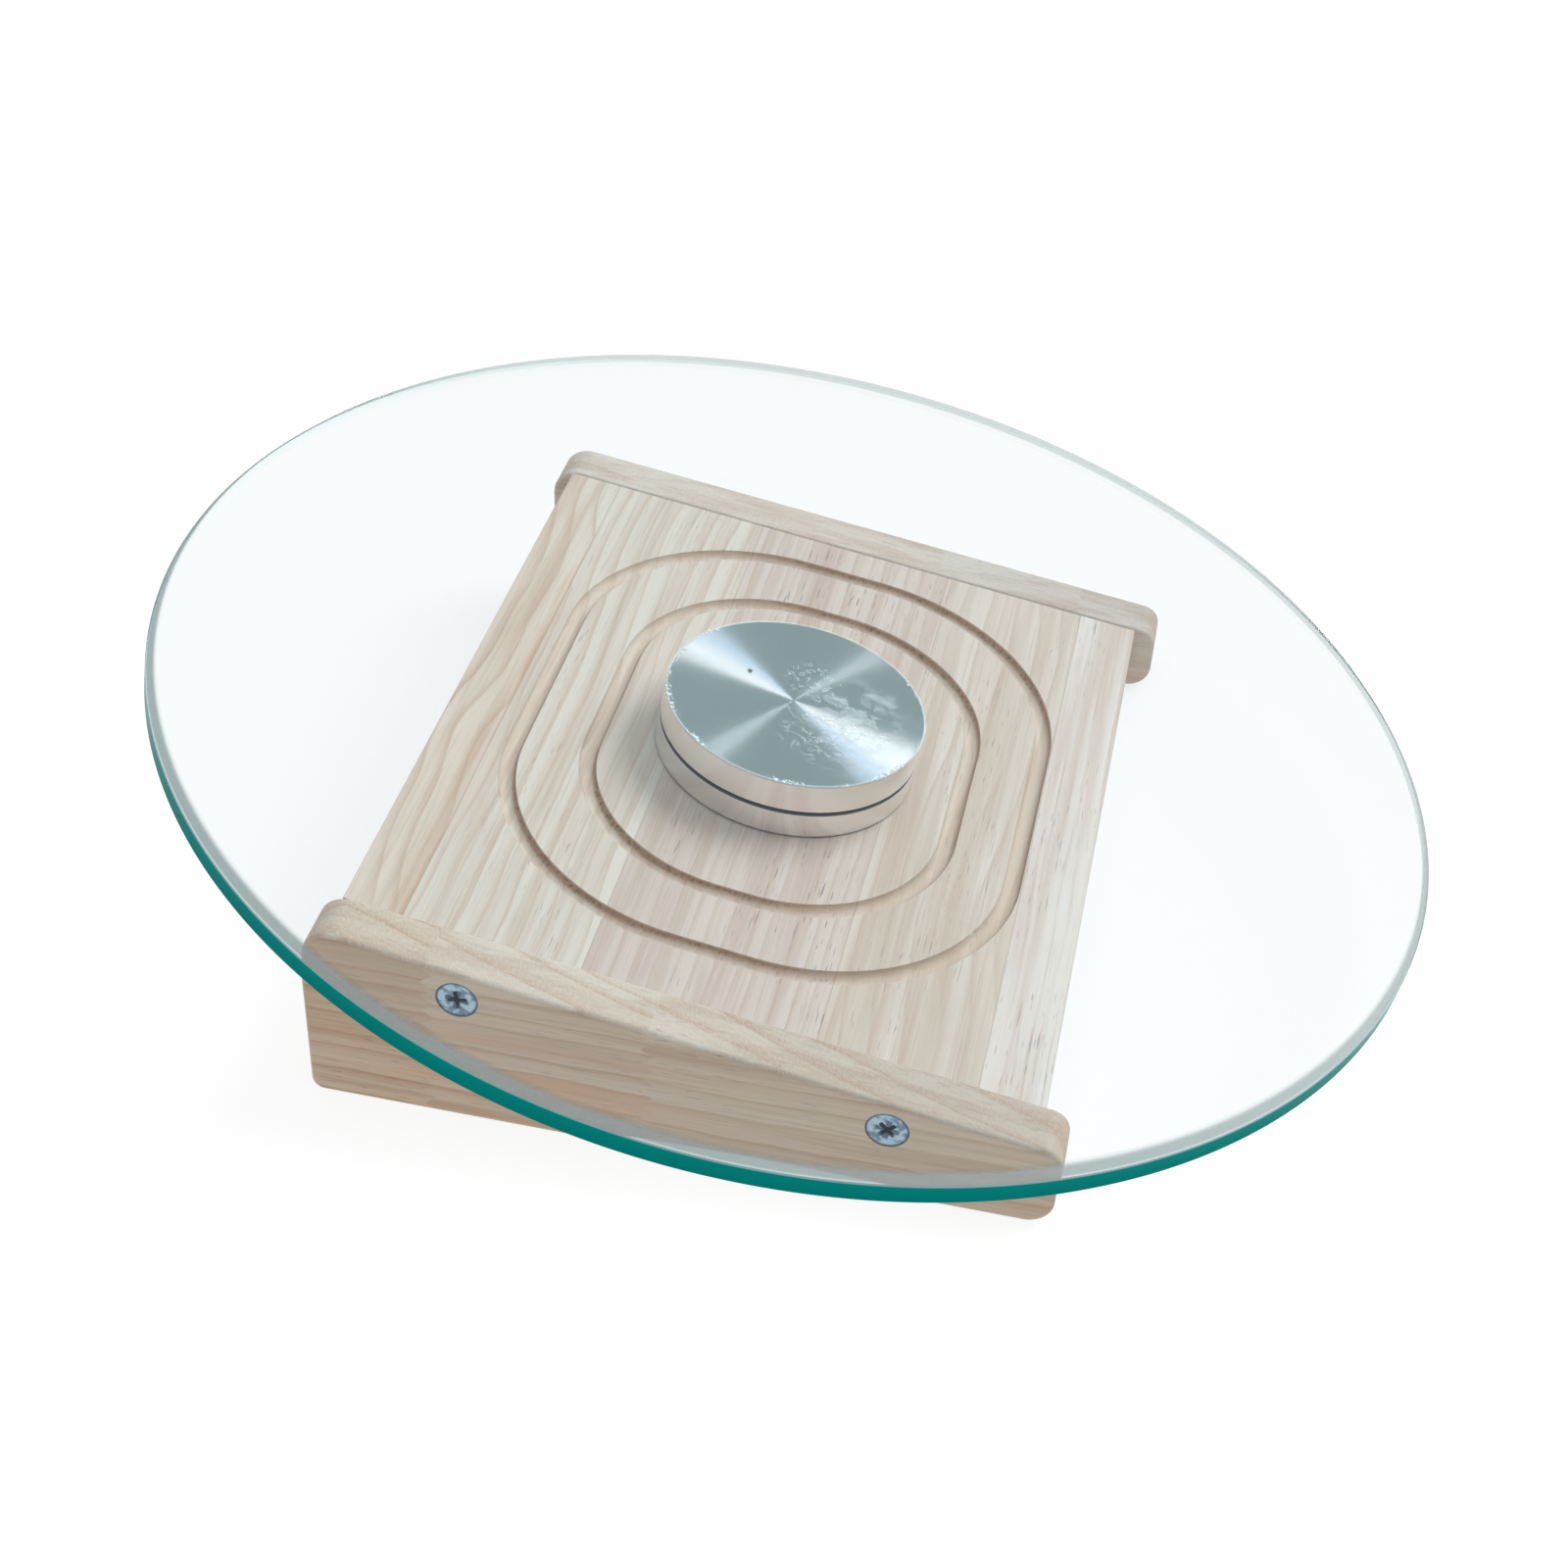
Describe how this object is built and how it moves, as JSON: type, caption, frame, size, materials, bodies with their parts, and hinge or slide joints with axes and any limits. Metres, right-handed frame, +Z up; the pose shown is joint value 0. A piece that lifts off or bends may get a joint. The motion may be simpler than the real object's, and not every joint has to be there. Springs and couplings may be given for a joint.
{
  "type": "cake turntable",
  "caption": "Round glass plate that spins on an aluminium ball bearing over a sloping pine base with two wedge-shaped cheeks.",
  "frame": {"origin": "on the table under the middle of the whole object's box", "axes": "+Z up; +X towards the low end of the slope, along the cheeks; +Y from the near cheek to the far cheek"},
  "size_m": [0.2968, 0.3, 0.0762],
  "materials": {
    "glass": "clear toughened float glass, polished edge with a teal tint",
    "adhesive": "clear cured adhesive with small bubbles",
    "turned_aluminium": "bright turned, fine concentric tool marks",
    "pine": "planed and sanded, unvarnished",
    "zinc": "bright blue zinc plating",
    "steel": "ground",
    "nylon": "moulded, natural",
    "bronze": "sintered"
  },
  "bodies": {
    "base": {"top_stave_1": "pine", "top_stave_2": "pine", "top_stave_3": "pine", "top_stave_4": "pine", "top_stave_5": "pine", "near_cheek": "pine", "far_cheek": "pine", "near_cheek_screws": "zinc", "far_cheek_screws": "zinc", "bearing_base_plate": "turned_aluminium", "spindle_bush": "bronze", "bearing_screws": "zinc", "bearing_screw_washers": "zinc"},
    "ball_race": {"ball_cage": "nylon", "bearing_balls": "steel"},
    "turntable": {"bearing_top_plate": "turned_aluminium", "spindle": "steel", "retaining_washer": "steel", "retaining_clip": "steel", "glue_film": "adhesive", "glass_disc": "glass"}
  },
  "joints": [
    {"name": "disc_spin", "type": "hinge", "parent": "base", "child": "turntable", "pos_m": [-0.00299, 0, 0.0295], "axis": [0.1599, 0, 0.9871], "continuous": true},
    {"name": "race_spin", "type": "hinge", "parent": "base", "child": "ball_race", "pos_m": [-0.00299, 0, 0.0295], "axis": [0.1599, 0, 0.9871], "continuous": true}
  ],
  "couplings": [
    {"joint": "race_spin", "follows": "disc_spin", "ratio": 0.5}
  ]
}
